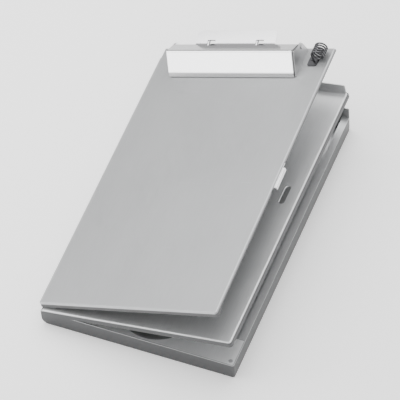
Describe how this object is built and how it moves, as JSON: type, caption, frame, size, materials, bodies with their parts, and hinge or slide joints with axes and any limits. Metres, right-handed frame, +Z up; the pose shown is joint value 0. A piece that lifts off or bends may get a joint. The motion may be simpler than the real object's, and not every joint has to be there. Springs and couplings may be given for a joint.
{
  "type": "storage clipboard",
  "caption": "Side-opening aluminium storage clipboard with base tray, middle tray and hinged cover that carries a wide lever clip, pen coil and edge latch.",
  "frame": {"origin": "centre of the base tray's flat underside", "axes": "+X from the hinge side to the opening side, +Y from the near end to the clip end, +Z up out of the tray"},
  "size_m": [0.2322, 0.3845, 0.1361],
  "materials": {
    "sheet": "satin, fine brushed",
    "hinge": "satin",
    "rivet": "satin",
    "pin": "drawn wire",
    "clip_chrome": "polished plate",
    "clip_steel": "plated",
    "spring_steel": "dark wire",
    "dark_steel": "dark plated",
    "latch_steel": "bright plated"
  },
  "bodies": {
    "base": {"base_tray": "sheet", "retaining_flange": "sheet", "retainer_rivets": "rivet", "base_hinge_leaf": "hinge", "base_hinge_rivets": "rivet", "lower_hinge_pin": "pin"},
    "middle": {"middle_tray": "sheet", "middle_hinge_leaf": "hinge", "cover_hinge_riser": "hinge", "spine_rivets": "rivet", "upper_hinge_pin": "pin"},
    "cover": {"cover_panel": "sheet", "cover_hinge_leaf": "hinge", "clip_mount": "clip_steel", "clip_rivets": "rivet", "clip_rod": "pin", "pen_foot_plate": "dark_steel", "pen_coil": "dark_steel", "pen_rivet": "dark_steel", "latch_strap": "clip_steel"},
    "clip": {"clip_jaw": "clip_chrome", "clip_spring_left": "spring_steel", "clip_spring_right": "spring_steel"},
    "latch": {"latch_slider": "latch_steel"}
  },
  "joints": [
    {"name": "middle_hinge", "type": "hinge", "parent": "base", "child": "middle", "pos_m": [-0.1128, 0, 0.0224], "axis": [0, -1, 0], "range_deg": [-10.4, 50]},
    {"name": "cover_hinge", "type": "hinge", "parent": "middle", "child": "cover", "pos_m": [-0.11509, -0.00015, 0.03488], "axis": [0.0073, -0.9992, -0.0398], "range_deg": [-9.75, 75]},
    {"name": "clip_pivot", "type": "hinge", "parent": "cover", "child": "clip", "pos_m": [-0.02023, 0.18279, 0.0953], "axis": [-0.9388, 0.0069, -0.3443], "range_deg": [0, 14], "stiffness_Nm_per_rad": 1.5, "springref_deg": -34.38},
    {"name": "latch_slide", "type": "slide", "parent": "cover", "child": "latch", "axis": [0.0073, -0.9992, -0.0398], "range_m": [0, 0.005]}
  ]
}
